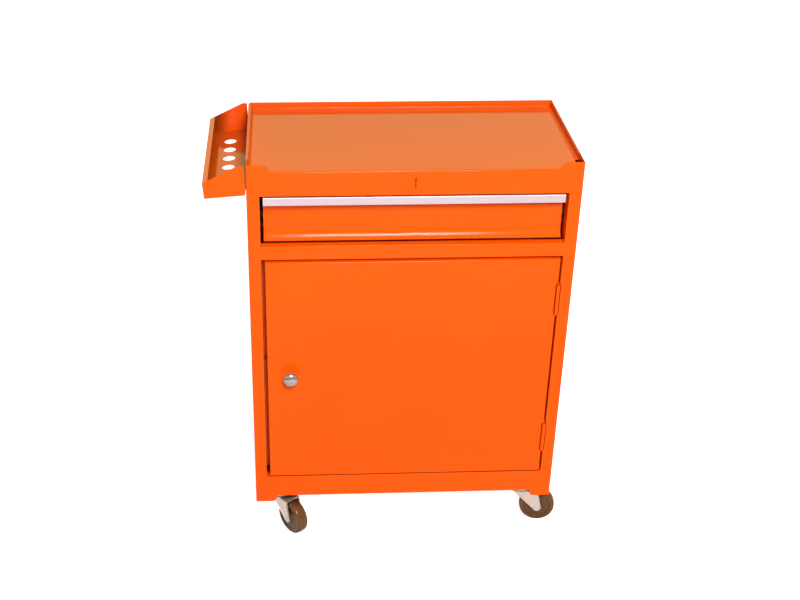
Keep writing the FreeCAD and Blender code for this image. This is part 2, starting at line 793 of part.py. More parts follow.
def caster_nuts():
    low = caster_height + sheet
    corner_radius = nut_across / math.sqrt(3)
    nuts = []
    for x, y in bolt_places():
        corners = [FreeCAD.Vector(x + corner_radius * math.cos(turn * math.pi / 3),
                                  y + corner_radius * math.sin(turn * math.pi / 3), low) for turn in range(7)]
        nut = Part.Face(Part.makePolygon(corners)).extrude(FreeCAD.Vector(0, 0, nut_height))
        bore = rod(bolt_radius + bolt_fit, (x, y, low - past), (0, 0, 1), nut_height + 2 * past)
        nuts.append(nut.cut(bore))
    return Part.makeCompound(nuts)


os.makedirs("parts", exist_ok=True)

save("front_frame", front_frame())
save("stile_angle", stile_angle())
save("left_side_panel", side_panel(-1))
save("right_side_panel", side_panel(1))
save("back_panel", back_panel())
save("top_pan", top_pan())
save("bottom_panel", bottom_panel())

save("drawer_front", drawer_front())
save("drawer_pull", drawer_pull())
save("drawer_box", drawer_box())
save("cabinet_rail_right", cabinet_rail())
save("cabinet_rail_left", mirrored(cabinet_rail()))
save("drawer_rail_right", drawer_rail())
save("drawer_rail_left", mirrored(drawer_rail()))

save("door_panel", door_panel())
save("door_knob", knob())
save("knob_screw", knob_screw())
save("catch_striker", catch_striker())
save("catch_magnet", catch_magnet())
for place, hinge_low in zip(("lower", "upper"), hinge_lows):
    frame_leaf, door_leaf = hinge_leaves(hinge_low)
    save(place + "_hinge_frame_leaf", frame_leaf)
    save(place + "_hinge_door_leaf", door_leaf)
    save(place + "_hinge_pin", hinge_pin(hinge_low))

save("tray_shell", tray_shell())
save("tray_end_front", tray_end(tray_front))
save("tray_end_back", tray_end(tray_back - tray_sheet))

caster_pieces = {
    "caster_plate": caster_plate(), "caster_kingpin": caster_kingpin(), "caster_balls": caster_balls(),
    "caster_fork": caster_fork(), "caster_axle": caster_axle(), "caster_bush": caster_bush(),
    "caster_wheel": caster_wheel(),
}
for corner_name, (x, y) in caster_centres().items():
    for piece_name, shape in caster_pieces.items():
        placed = shape.copy()
        if piece_name != "caster_plate":
            placed.rotate(FreeCAD.Vector(0, 0, 0), FreeCAD.Vector(0, 0, 1), swivel_rest_degrees[corner_name])
        placed.translate(FreeCAD.Vector(x, y, 0))
        save(corner_name + "_" + piece_name, placed)
save("caster_bolts", caster_bolts())
save("caster_nuts", caster_nuts())
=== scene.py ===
import math

import bmesh
import bpy
from mathutils import Matrix, Vector


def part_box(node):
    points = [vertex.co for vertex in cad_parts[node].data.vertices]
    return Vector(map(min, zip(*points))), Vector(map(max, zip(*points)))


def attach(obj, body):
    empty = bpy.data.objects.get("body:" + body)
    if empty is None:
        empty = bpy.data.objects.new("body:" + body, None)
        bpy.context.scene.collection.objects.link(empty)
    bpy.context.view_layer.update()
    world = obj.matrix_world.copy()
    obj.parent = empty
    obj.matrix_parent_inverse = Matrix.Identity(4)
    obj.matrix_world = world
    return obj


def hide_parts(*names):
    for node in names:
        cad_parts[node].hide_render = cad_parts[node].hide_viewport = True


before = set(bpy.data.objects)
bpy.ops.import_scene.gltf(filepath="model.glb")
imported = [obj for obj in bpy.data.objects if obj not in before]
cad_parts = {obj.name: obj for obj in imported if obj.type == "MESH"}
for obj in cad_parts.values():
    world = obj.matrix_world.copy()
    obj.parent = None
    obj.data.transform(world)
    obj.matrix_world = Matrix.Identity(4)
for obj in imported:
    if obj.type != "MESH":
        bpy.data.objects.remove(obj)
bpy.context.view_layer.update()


# Cabinet body: front frame, side panels, back, bottom and the rimmed top.
# Cold-rolled steel sheet about 1 mm thick, punched, folded and spot-welded into a box,
# then sprayed and baked with a gloss orange enamel inside and out.
def linear(colour):
    """An sRGB hex colour as linear red, green, blue and a full alpha."""
    channels = [int(colour[start:start + 2], 16) / 255 for start in (1, 3, 5)]
    return [c / 12.92 if c <= 0.04045 else ((c + 0.055) / 1.055) ** 2.4 for c in channels] + [1.0]


def per_mm(size):
    """The texture scale, on coordinates in metres, at which one feature is this many millimetres."""
    return 1000.0 / size


def add_node(tree, kind, settings, inputs):
    """Adds a node, sets its properties, and fills its inputs with values or with links."""
    node = tree.nodes.new(kind)
    for name, value in settings.items():
        setattr(node, name, value)
    for name, value in inputs.items():
        if isinstance(value, bpy.types.NodeSocket):
            tree.links.new(value, node.inputs[name])
        else:
            node.inputs[name].default_value = value
    return node


def new_material(name):
    """An empty material with its output node, and the tree to build it in."""
    material = bpy.data.materials.new(name)
    material.use_nodes = True
    material.node_tree.nodes.clear()
    output = add_node(material.node_tree, "ShaderNodeOutputMaterial", {}, {})
    return material, material.node_tree, output


# Baked gloss enamel: an even, saturated orange under a thin hard gloss, with the faint
# orange-peel of a sprayed coat (drawn 6 mm wide so that it shows) and a little drift in tone.
# The top and the tray mirror the room more, under a tan tint on faces that look up: thin dust, and
# partly a painted sheen of the pale ceiling. Painted shade darkens narrow gaps, the rim's right wall
# and the tray's trough, and the top's and the frame's folds go matt, with their sheen painted dark.
deep_orange = linear("#f75401")
pale_orange = linear("#fb5e03")
# The tan is dust and partly a painted sheen; the brown and the dark sheen are painted shade.
dust_and_sheen_tan = linear("#f8842a")
shade_brown = linear("#5a1c00")
plain_sheen = linear("#ffffff")
shaded_sheen = linear("#3a1404")


def orange_enamel(name, specular, smoothest, roughest, dust=0.0, fold_shade=0.0, wall_share=1.0,
                  fold_reach=0.05, fold_matt=0.0, shade_side=(1, 0, 0), shade_start=0.0, shade_full=1.0, side_shade=0.0):
    """The cabinet's paint with its gloss. From 0 to 1: a tan tint on faces that look up, which is thin dust
    and partly a painted sheen; painted shade in folds as wide as fold_reach metres, and the share of it
    that walls get beside ledges; how matt those folds are, with their sheen painted dark; and painted
    shade on faces turned to one side, from none at shade_start along X to the most at shade_full.
    Paint with no fold shade is plain, with no tint or side shade either."""
    material, tree, output = new_material(name)
    spot = add_node(tree, "ShaderNodeTexCoord", {}, {})
    place = spot.outputs["Object"]
    drift = add_node(tree, "ShaderNodeTexNoise", {}, {"Vector": place, "Scale": per_mm(260), "Detail": 2.0})
    tone = add_node(tree, "ShaderNodeMix", {"data_type": "RGBA"},
                    {"Factor": drift.outputs["Fac"], 6: deep_orange, 7: pale_orange})
    handling = add_node(tree, "ShaderNodeTexNoise", {},
                        {"Vector": place, "Scale": per_mm(55), "Detail": 4.0})
    gloss = add_node(tree, "ShaderNodeMapRange", {},
                     {"Value": handling.outputs["Fac"], "From Min": 0.3, "From Max": 0.7,
                      "To Min": smoothest, "To Max": roughest})
    peel = add_node(tree, "ShaderNodeTexNoise", {}, {"Vector": place, "Scale": per_mm(6), "Detail": 1.0})
    skin = add_node(tree, "ShaderNodeBump", {},
                    {"Height": peel.outputs["Fac"], "Strength": 0.05, "Distance": 0.0004})
    coat = {"Base Color": tone.outputs[2], "Roughness": gloss.outputs["Result"],
            "Normal": skin.outputs["Normal"], "Specular IOR Level": specular}
    if fold_shade > 0:
        facing = add_node(tree, "ShaderNodeSeparateXYZ", {}, {"Vector": spot.outputs["Normal"]})
        upward = add_node(tree, "ShaderNodeMapRange", {"interpolation_type": "SMOOTHSTEP"},
                          {"Value": facing.outputs["Z"], "From Min": 0.55, "From Max": 0.98})
        # Painted shade: occlusion darkens folds and gaps towards a brown.
        fold = add_node(tree, "ShaderNodeAmbientOcclusion", {"samples": 8}, {"Distance": fold_reach})
        fold_shaded = add_node(tree, "ShaderNodeMapRange", {},
                          {"Value": fold.outputs["AO"], "From Min": 0.95, "From Max": 0.25})
        ledge = add_node(tree, "ShaderNodeMapRange", {},
                         {"Value": upward.outputs["Result"], "To Min": fold_shade * wall_share, "To Max": fold_shade})
        painted_shade = add_node(tree, "ShaderNodeMath", {"operation": "MULTIPLY"},
                         {0: fold_shaded.outputs["Result"], 1: ledge.outputs["Result"]})
        # Dust on faces that look up, and partly a painted sheen of the pale ceiling.
        if dust > 0:
            settled = add_node(tree, "ShaderNodeTexNoise", {},
                               {"Vector": place, "Scale": per_mm(110), "Detail": 3.0})
            patchy = add_node(tree, "ShaderNodeMapRange", {},
                              {"Value": settled.outputs["Fac"], "From Min": 0.3, "From Max": 0.7,
                               "To Min": 0.85 * dust, "To Max": dust})
            dust_and_sheen = add_node(tree, "ShaderNodeMath", {"operation": "MULTIPLY"},
                            {0: upward.outputs["Result"], 1: patchy.outputs["Result"]})
            dusted_and_sheened = add_node(tree, "ShaderNodeMix", {"data_type": "RGBA"},
                              {"Factor": dust_and_sheen.outputs["Value"], 6: tone.outputs[2], 7: dust_and_sheen_tan})
            coat["Base Color"] = dusted_and_sheened.outputs[2]
        # Painted shade on faces turned to one side, growing along X.
        if side_shade > 0:
            turned_to = add_node(tree, "ShaderNodeVectorMath", {"operation": "DOT_PRODUCT"},
                                 {0: spot.outputs["Normal"], 1: shade_side})
            wall = add_node(tree, "ShaderNodeMapRange", {"interpolation_type": "SMOOTHSTEP"},
                            {"Value": turned_to.outputs["Value"], "From Min": 0.6, "From Max": 0.95})
            along = add_node(tree, "ShaderNodeSeparateXYZ", {}, {"Vector": place})
            spread = add_node(tree, "ShaderNodeMapRange", {"interpolation_type": "SMOOTHSTEP"},
                              {"Value": along.outputs["X"], "From Min": shade_start, "From Max": shade_full,
                               "To Max": side_shade})
            side_shaded = add_node(tree, "ShaderNodeMath", {"operation": "MULTIPLY"},
                              {0: wall.outputs["Result"], 1: spread.outputs["Result"]})
            painted_shade = add_node(tree, "ShaderNodeMath", {"operation": "MAXIMUM"},
                             {0: painted_shade.outputs["Value"], 1: side_shaded.outputs["Value"]})
        shaded_coat = add_node(tree, "ShaderNodeMix", {"data_type": "RGBA"},
                          {"Factor": painted_shade.outputs["Value"], 6: coat["Base Color"], 7: shade_brown})
        coat["Base Color"] = shaded_coat.outputs[2]
        # Folds go matt, and their sheen is tinted dark: painted shade on the bend's highlight.
        if fold_matt > 0:
            dulled = add_node(tree, "ShaderNodeMapRange", {},
                              {"Value": fold.outputs["AO"], "From Min": 0.95, "From Max": 0.6,
                               "To Max": fold_matt})
            matted = add_node(tree, "ShaderNodeMix", {},
                              {"Factor": dulled.outputs["Result"], "A": gloss.outputs["Result"], "B": 0.9})
            sheen = add_node(tree, "ShaderNodeMix", {"data_type": "RGBA"},
                             {"Factor": dulled.outputs["Result"], 6: plain_sheen, 7: shaded_sheen})
            coat["Roughness"] = matted.outputs[0]
            coat["Specular Tint"] = sheen.outputs[2]
    shader = add_node(tree, "ShaderNodeBsdfPrincipled", {}, coat)
    tree.links.new(shader.outputs["BSDF"], output.inputs["Surface"])
    return material


enamel = orange_enamel("baked_orange_enamel", specular=0.12, smoothest=0.08, roughest=0.16)
# The frame gets painted shade in its narrow gaps; the top in its folds and on the rim's right wall.
frame_enamel = orange_enamel("gap_shaded_enamel", specular=0.12, smoothest=0.08, roughest=0.16, fold_shade=0.9,
                             wall_share=0.0, fold_reach=0.003, fold_matt=1.0)
top_enamel = orange_enamel("glossy_orange_enamel", specular=0.5, smoothest=0.06, roughest=0.12, dust=0.2,
                           fold_shade=0.5, fold_reach=0.007, fold_matt=1.0,
                           shade_side=(-1, 0, 0), shade_start=0.0, shade_full=0.2, side_shade=0.2)


def finish_nodes(material, names):
    """Gives carried-over frame nodes one material."""
    for name in names:
        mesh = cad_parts[name].data
        mesh.materials.clear()
        mesh.materials.append(material)


finish_nodes(frame_enamel, ["front_frame"])
finish_nodes(enamel, ["stile_angle", "left_side_panel", "right_side_panel", "back_panel", "bottom_panel"])
finish_nodes(top_enamel, ["top_pan"])

# Keyhole: the stamped mark in the top rail, a round head over a slot, its floor a dark sheet of painted
# shade.
# Pressed 0.6 mm deep into the frame's sheet before painting, with no lock behind it.

# Painted shade for the keyhole's floor: a dull burnt orange, cloudy, with no gloss.
keyhole_shade, tree, output = new_material("keyhole_painted_shade")
place = add_node(tree, "ShaderNodeTexCoord", {}, {}).outputs["Object"]
clouds = add_node(tree, "ShaderNodeTexNoise", {}, {"Vector": place, "Scale": per_mm(3), "Detail": 3.0})
tone = add_node(tree, "ShaderNodeMix", {"data_type": "RGBA"},
                {"Factor": clouds.outputs["Fac"], 6: linear("#bc3a00"), 7: linear("#c84402")})
shader = add_node(tree, "ShaderNodeBsdfPrincipled", {},
                  {"Base Color": tone.outputs[2], "Roughness": 0.7, "Specular IOR Level": 0.0})
tree.links.new(shader.outputs["BSDF"], output.inputs["Surface"])


def arc(centre, radius, start, end, steps):
    """Points of a round corner, from one angle to another, in degrees."""
    turns = [math.radians(start + (end - start) * step / steps) for step in range(steps + 1)]
    return [(centre[0] + radius * math.cos(turn), centre[1] + radius * math.sin(turn)) for turn in turns]


def new_piece(name, mesh, material, body, crease):
    """Names a finished mesh as a piece that rides on a body, smooth but for edges past a crease angle
    in degrees."""
    mesh.name = name
    mesh.materials.clear()
    mesh.materials.append(material)
    mesh.shade_smooth()
    mesh.set_sharp_from_angle(angle=math.radians(crease))
    piece = bpy.data.objects.new(name, mesh)
    bpy.context.scene.collection.objects.link(piece)
    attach(piece, body)
    return piece


def extruded(outline, start, end, place=Matrix()):
    """A bar whose outline in Y and Z, in metres, runs along X from start to end before it is placed."""
    shape = bmesh.new()
    rings = [[shape.verts.new((x, y, z)) for y, z in outline] for x in (start, end)]
    count = len(outline)
    for index in range(count):
        after = (index + 1) % count
        shape.faces.new((rings[0][index], rings[0][after], rings[1][after], rings[1][index]))
    shape.faces.new(rings[0])
    shape.faces.new(rings[1])
    bmesh.ops.transform(shape, matrix=place, verts=shape.verts)
    bmesh.ops.recalc_face_normals(shape, faces=shape.faces)
    mesh = bpy.data.meshes.new("bar")
    shape.to_mesh(mesh)
    shape.free()
    return mesh


frame_low, frame_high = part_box("front_frame")
keyhole_head = 0.0023
keyhole_slot = 0.0013
keyhole_top = frame_high.z - 0.0231
keyhole_bottom = frame_high.z - 0.0404
keyhole_depth = 0.0006
keyhole_floor = frame_low.y + keyhole_depth
keyhole_film = 0.00025
folded_crease = 40
neck_turn = math.degrees(math.asin(keyhole_slot / keyhole_head))
keyhole_middle = (0, keyhole_top - keyhole_head)
keyhole_outline = arc(keyhole_middle, keyhole_head, neck_turn - 90, 270 - neck_turn, steps=20)
keyhole_outline += [(-keyhole_slot, keyhole_bottom), (keyhole_slot, keyhole_bottom)]
quarter_turn = Matrix.Rotation(math.radians(-90), 4, "Z")
keyhole = extruded(keyhole_outline, -keyhole_floor, keyhole_film - keyhole_floor, quarter_turn)
new_piece("keyhole_floor", keyhole, keyhole_shade, "cabinet", folded_crease)

# Drawer: a folded front with a flared lower edge and an open box behind it.
# The same enamelled sheet, spot-welded, hung on a pair of zinc-plated channel runners.
finish_nodes(enamel, ["drawer_front", "drawer_box"])

# Bright zinc plate over rolled steel: a pale, slightly warm grey metal, with a fine cloudy
# spangle about 4 mm across, soft scuffs that vary its gloss, and painted shade, a dull brown, in the
# crevices.
zinc, tree, output = new_material("bright_zinc_plate")
place = add_node(tree, "ShaderNodeTexCoord", {}, {}).outputs["Object"]
spangle = add_node(tree, "ShaderNodeTexVoronoi", {}, {"Vector": place, "Scale": per_mm(4)})
tone = add_node(tree, "ShaderNodeMix", {"data_type": "RGBA"},
                {"Factor": spangle.outputs["Distance"], 6: linear("#ece4d8"), 7: linear("#dcd3c5")})
crevice = add_node(tree, "ShaderNodeAmbientOcclusion", {"samples": 8}, {"Distance": 0.016})
# Painted shade in the crevices: a dull brown, and less metallic there.
crevice_shade = add_node(tree, "ShaderNodeMapRange", {},
                  {"Value": crevice.outputs["AO"], "From Min": 0.8, "From Max": 0.35})
crevice_shaded_zinc = add_node(tree, "ShaderNodeMix", {"data_type": "RGBA"},
                  {"Factor": crevice_shade.outputs["Result"], 6: tone.outputs[2], 7: linear("#50341e")})
metal_outside_crevices = add_node(tree, "ShaderNodeMapRange", {},
                {"Value": crevice.outputs["AO"], "From Min": 0.35, "From Max": 0.8,
                 "To Min": 0.2, "To Max": 1.0})
scuffs = add_node(tree, "ShaderNodeTexNoise", {}, {"Vector": place, "Scale": per_mm(9), "Detail": 5.0})
gloss = add_node(tree, "ShaderNodeMapRange", {},
                 {"Value": scuffs.outputs["Fac"], "From Min": 0.3, "From Max": 0.7,
                  "To Min": 0.36, "To Max": 0.52})
skin = add_node(tree, "ShaderNodeBump", {},
                {"Height": scuffs.outputs["Fac"], "Strength": 0.08, "Distance": 0.0003})
shader = add_node(tree, "ShaderNodeBsdfPrincipled", {},
                  {"Base Color": crevice_shaded_zinc.outputs[2], "Metallic": metal_outside_crevices.outputs["Result"],
                   "Roughness": gloss.outputs["Result"], "Normal": skin.outputs["Normal"]})
tree.links.new(shader.outputs["BSDF"], output.inputs["Surface"])

# Zinc on the runners, dull and dark all over as painted shade, streaked along the slide by the
# drawer's travel (streaks drawn 5 mm wide so that they show).
shade_dark_zinc, tree, output = new_material("shade_darkened_runner_zinc")
place = add_node(tree, "ShaderNodeTexCoord", {}, {}).outputs["Object"]
along = add_node(tree, "ShaderNodeMapping", {}, {"Vector": place, "Scale": (1.0, 0.08, 1.0)})
streaks = add_node(tree, "ShaderNodeTexNoise", {},
                   {"Vector": along.outputs["Vector"], "Scale": per_mm(5), "Detail": 4.0})
tone = add_node(tree, "ShaderNodeMix", {"data_type": "RGBA"},
                {"Factor": streaks.outputs["Fac"], 6: linear("#4d4740"), 7: linear("#6b645b")})
gloss = add_node(tree, "ShaderNodeMapRange", {},
                 {"Value": streaks.outputs["Fac"], "From Min": 0.3, "From Max": 0.7,
                  "To Min": 0.45, "To Max": 0.65})
shader = add_node(tree, "ShaderNodeBsdfPrincipled", {},
                  {"Base Color": tone.outputs[2], "Metallic": 1.0, "Roughness": gloss.outputs["Result"]})
tree.links.new(shader.outputs["BSDF"], output.inputs["Surface"])
finish_nodes(shade_dark_zinc, ["cabinet_rail_left", "cabinet_rail_right", "drawer_rail_left", "drawer_rail_right"])

# Drawer pull: an extruded aluminium strip as long as the drawer, clipped over its top edge.
# Its face has a faint fold along the middle and rounded noses, as it comes from the die.

# Satin anodised aluminium: a pale silver with a pink tint that is a painted reflection, and fine die lines
# along its length.
aluminium, tree, output = new_material("satin_anodised_aluminium")
place = add_node(tree, "ShaderNodeTexCoord", {}, {}).outputs["Object"]
along = add_node(tree, "ShaderNodeMapping", {}, {"Vector": place, "Scale": (0.01, 1.0, 1.0)})
lines = add_node(tree, "ShaderNodeTexNoise", {},
                 {"Vector": along.outputs["Vector"], "Scale": per_mm(0.8), "Detail": 3.0})
tone = add_node(tree, "ShaderNodeMix", {"data_type": "RGBA"},
                {"Factor": lines.outputs["Fac"], 6: linear("#f2e0e4"), 7: linear("#e6d2d7")})
gloss = add_node(tree, "ShaderNodeMapRange", {},
                 {"Value": lines.outputs["Fac"], "From Min": 0.3, "From Max": 0.7,
                  "To Min": 0.42, "To Max": 0.54})
skin = add_node(tree, "ShaderNodeBump", {},
                {"Height": lines.outputs["Fac"], "Strength": 0.1, "Distance": 0.0001})
shader = add_node(tree, "ShaderNodeBsdfPrincipled", {},
                  {"Base Color": tone.outputs[2], "Metallic": 1.0, "Roughness": gloss.outputs["Result"],
                   "Normal": skin.outputs["Normal"]})
tree.links.new(shader.outputs["BSDF"], output.inputs["Surface"])

pull_low, pull_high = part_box("drawer_pull")
pull_wall = 0.0016
pull_nose = 0.0008
pull_lean = 0.0004
pull_fold = pull_low.z + 0.0055
pull_clip = pull_high.y - pull_wall
pull_back = pull_low.y + pull_wall
pull_outline = [(pull_back, pull_high.z - pull_wall)]
pull_outline += arc((pull_back - pull_nose, pull_low.z + pull_nose), pull_nose, 0, -90, steps=4)
pull_outline += arc((pull_low.y + pull_nose, pull_low.z + pull_nose), pull_nose, -90, -180, steps=4)
pull_outline += [(pull_low.y, pull_fold)]
pull_brow = pull_low.y + pull_lean
pull_outline += arc((pull_brow + pull_nose, pull_high.z - pull_nose), pull_nose, 180, 90, steps=5)
pull_outline += arc((pull_high.y - pull_nose, pull_high.z - pull_nose), pull_nose, 90, 0, steps=5)
pull_outline += [(pull_high.y, pull_low.z), (pull_clip, pull_low.z), (pull_clip, pull_high.z - pull_wall)]
pull = new_piece("drawer_pull_strip", extruded(pull_outline, pull_low.x, pull_high.x), aluminium,
                 "drawer", folded_crease)
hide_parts("drawer_pull")

# Door: a folded pan of the same sheet on two butt hinges, with a steel striker for its catch.
# The hinges were welded on before painting, so leaves, knuckles and pins carry the enamel too.
finish_nodes(enamel, ["door_panel", "lower_hinge_frame_leaf", "lower_hinge_door_leaf", "lower_hinge_pin",
                      "upper_hinge_frame_leaf", "upper_hinge_door_leaf", "upper_hinge_pin"])
finish_nodes(zinc, ["knob_screw", "catch_striker"])

# Catch: a magnet between two steel pole plates in a moulded housing, fixed behind the stile
# beside the door's edge. The pole plates stand proud of the housing to meet the striker.

# Moulded ABS: a matt warm brown plastic with a fine spark-eroded grain.
plastic, tree, output = new_material("moulded_brown_abs")
place = add_node(tree, "ShaderNodeTexCoord", {}, {}).outputs["Object"]
grain = add_node(tree, "ShaderNodeTexNoise", {}, {"Vector": place, "Scale": per_mm(0.9), "Detail": 2.0})
tone = add_node(tree, "ShaderNodeMix", {"data_type": "RGBA"},
                {"Factor": grain.outputs["Fac"], 6: linear("#a85012"), 7: linear("#b05816")})
skin = add_node(tree, "ShaderNodeBump", {},
                {"Height": grain.outputs["Fac"], "Strength": 0.2, "Distance": 0.0002})
shader = add_node(tree, "ShaderNodeBsdfPrincipled", {},
                  {"Base Color": tone.outputs[2], "Roughness": 0.5, "Normal": skin.outputs["Normal"],
                   "Specular IOR Level": 0.1})
tree.links.new(shader.outputs["BSDF"], output.inputs["Surface"])


def blocks(boxes, edge_round):
    """Blocks with rounded edges, each given by its two far corners, in one mesh."""
    shape = bmesh.new()
    for low, high in boxes:
        size = Vector(high) - Vector(low)
        middle = (Vector(high) + Vector(low)) / 2
        place = Matrix.Translation(middle) @ Matrix.Diagonal((*size, 1))
        bmesh.ops.create_cube(shape, size=1.0, matrix=place)
    bmesh.ops.bevel(shape, geom=shape.edges[:], offset=edge_round, segments=3, profile=0.5, affect="EDGES")
    mesh = bpy.data.meshes.new("blocks")
    shape.to_mesh(mesh)
    shape.free()
    return mesh


catch_low, catch_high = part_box("catch_magnet")
housing_round = 0.0010
pole_proud = 0.0002
housing_low = (catch_low.x, catch_low.y + pole_proud, catch_low.z)
housing = new_piece("catch_housing", blocks([(housing_low, catch_high)], housing_round), plastic, "cabinet",
                    folded_crease)
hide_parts("catch_magnet")
catch_middle = (catch_low.x + catch_high.x) / 2
pole_offset = 0.0028
pole_round = 0.0002
pole_half = 0.0008
pole_depth = 0.0030
pole_end = 0.0035
pole_boxes = [((x - pole_half, catch_low.y, catch_low.z + pole_end),
               (x + pole_half, catch_low.y + pole_depth, catch_high.z - pole_end))
              for x in (catch_middle - pole_offset, catch_middle + pole_offset)]
new_piece("catch_pole_plates", blocks(pole_boxes, pole_round), zinc, "cabinet", folded_crease)

# Knob: a turned mushroom knob on a small rosette, drawn tight by a screw from inside the door.
# Die-cast zinc, buffed and plated, with a neck between the rosette and the domed head.

# Polished chrome plate on die-cast zinc: a mirror with a slightly warm cast and faint buffing swirls.
chrome, tree, output = new_material("polished_chrome_plate")
place = add_node(tree, "ShaderNodeTexCoord", {}, {}).outputs["Object"]
swirl = add_node(tree, "ShaderNodeTexNoise", {}, {"Vector": place, "Scale": per_mm(3), "Detail": 6.0})
tone = add_node(tree, "ShaderNodeMix", {"data_type": "RGBA"},
                {"Factor": swirl.outputs["Fac"], 6: linear("#c9beb9"), 7: linear("#b5aaa5")})
gloss = add_node(tree, "ShaderNodeMapRange", {},
                 {"Value": swirl.outputs["Fac"], "To Min": 0.06, "To Max": 0.16})
shader = add_node(tree, "ShaderNodeBsdfPrincipled", {},
                  {"Base Color": tone.outputs[2], "Metallic": 1.0, "Roughness": gloss.outputs["Result"]})
tree.links.new(shader.outputs["BSDF"], output.inputs["Surface"])


def turned(outline, place, segments, six_sided=()):
    """A lathe form: the outline's pairs of radius and height go round Z, and a matrix places it.
    An outline that keeps clear of the axis closes on itself. Rings named in six_sided get flats."""
    shape = bmesh.new()
    rings = []
    for index, (radius, height) in enumerate(outline):
        ring = []
        for step in range(segments if radius > 1e-6 else 1):
            turn = 2 * math.pi * step / segments
            reach = radius / math.cos(turn % (math.pi / 3) - math.pi / 6) if index in six_sided else radius
            ring.append(shape.verts.new((reach * math.cos(turn), reach * math.sin(turn), height)))
        rings.append(ring)
    pairs = list(zip(rings[:-1], rings[1:]))
    if len(rings[0]) > 1:
        pairs.append((rings[-1], rings[0]))
    for low, high in pairs:
        for step in range(segments):
            after = (step + 1) % segments
            corners = [low[step % len(low)], low[after % len(low)], high[after % len(high)],
                       high[step % len(high)]]
            shape.faces.new(list(dict.fromkeys(corners)))
    bmesh.ops.recalc_face_normals(shape, faces=shape.faces)
    bmesh.ops.transform(shape, matrix=place, verts=shape.verts)
    mesh = bpy.data.meshes.new("turning")
    shape.to_mesh(mesh)
    shape.free()
    return mesh


knob_low, knob_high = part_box("door_knob")
knob_x = (knob_low.x + knob_high.x) / 2
knob_z = (knob_low.z + knob_high.z) / 2
knob_radius = (knob_high.x - knob_low.x) / 2
knob_length = knob_high.y - knob_low.y
rosette_radius = 0.0060
rosette_height = 0.0020
rosette_wall = 0.0010
rosette_chamfer = 0.0008
neck_radius = 0.0042
neck_flare = 0.0006
neck_foot = rosette_height + 0.0003
neck_start = rosette_height + 0.0016
head_start = 0.0090
neck_end = head_start - 0.0015
knob_outline = [(0, 0), (rosette_radius, 0), (rosette_radius, rosette_wall)]
knob_outline += [(rosette_radius - rosette_chamfer, rosette_height), (neck_radius + neck_flare, neck_foot)]
knob_outline += [(neck_radius, neck_start), (neck_radius, neck_end), (neck_radius + neck_flare, head_start)]
head_height = knob_length - head_start
head_middle = head_start + head_height * 0.48
dome_height = head_height * 0.52
underside_height = head_height * 0.46
for degrees in range(-60, 91, 6):
    turn = math.radians(degrees)
    rise = (dome_height if degrees > 0 else underside_height) * math.sin(turn)
    knob_outline.append((knob_radius * math.cos(turn), head_middle + rise))
knob_outline[-1] = (0, knob_length)
turned_crease = 50
door_face = Matrix.Translation((knob_x, knob_high.y, knob_z)) @ Matrix.Rotation(math.radians(90), 4, "X")
knob = new_piece("turned_door_knob", turned(knob_outline, door_face, segments=64), chrome, "door",
                 turned_crease)
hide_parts("door_knob")

# Side tray: a folded trough with six punched holes, two welded ends and a hook over the left rim.
# Enamelled with the cabinet and hung on loose, so it lifts straight off.
tray_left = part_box("tray_shell")[0].x
tray_shade_start = tray_left + 0.045
tray_shade_full = tray_left + 0.006
# Painted shade on the tray: in its folds, and on the inner faces of its outer wall and back end, most
# towards the outer side.
tray_enamel = orange_enamel("side_shaded_glossy_enamel", specular=0.5, smoothest=0.06, roughest=0.12, dust=0.2,
                            fold_shade=0.6, shade_side=(1, 0, 0), shade_start=tray_shade_start, shade_full=tray_shade_full,
                            side_shade=1.0)
end_enamel = orange_enamel("side_shaded_orange_enamel", specular=0.4, smoothest=0.14, roughest=0.24, fold_shade=0.25,
                           shade_side=(0, -1, 0), shade_start=tray_shade_start, shade_full=tray_shade_full, side_shade=0.85)
finish_nodes(tray_enamel, ["tray_shell"])
finish_nodes(end_enamel, ["tray_end_back"])
finish_nodes(enamel, ["tray_end_front"])

# Casters: pressed plates and forks with ball races, riveted kingpins and axles, brown moulded wheels.
# Four alike, each bolted through the bottom panel by four bolts.

# Moulded phenolic and rubber wheel: a dense warm brown, half gloss, with cloudy mottling, and
# darker as painted shade where the fork shields it.
brown, tree, output = new_material("moulded_brown_wheel")
place = add_node(tree, "ShaderNodeTexCoord", {}, {}).outputs["Object"]
mottle = add_node(tree, "ShaderNodeTexNoise", {}, {"Vector": place, "Scale": per_mm(12), "Detail": 4.0})
tone = add_node(tree, "ShaderNodeMix", {"data_type": "RGBA"},
                {"Factor": mottle.outputs["Fac"], 6: linear("#5e3d15"), 7: linear("#744a1c")})
# Painted shade under the fork: occlusion darkens the wheel.
under_fork = add_node(tree, "ShaderNodeAmbientOcclusion", {"samples": 8}, {"Distance": 0.06})
fork_shade = add_node(tree, "ShaderNodeMapRange", {},
                {"Value": under_fork.outputs["AO"], "From Min": 0.75, "From Max": 0.4, "To Max": 0.9})
fork_shaded_tone = add_node(tree, "ShaderNodeMix", {"data_type": "RGBA"},
                 {"Factor": fork_shade.outputs["Result"], 6: tone.outputs[2], 7: linear("#2e1606")})
gloss = add_node(tree, "ShaderNodeMapRange", {},
                 {"Value": mottle.outputs["Fac"], "From Min": 0.3, "From Max": 0.7,
                  "To Min": 0.18, "To Max": 0.28})
grit = add_node(tree, "ShaderNodeTexNoise", {}, {"Vector": place, "Scale": per_mm(1.2), "Detail": 2.0})
skin = add_node(tree, "ShaderNodeBump", {},
                {"Height": grit.outputs["Fac"], "Strength": 0.12, "Distance": 0.0002})
shader = add_node(tree, "ShaderNodeBsdfPrincipled", {},
                  {"Base Color": fork_shaded_tone.outputs[2], "Roughness": gloss.outputs["Result"],
                   "Normal": skin.outputs["Normal"], "Specular IOR Level": 0.35})
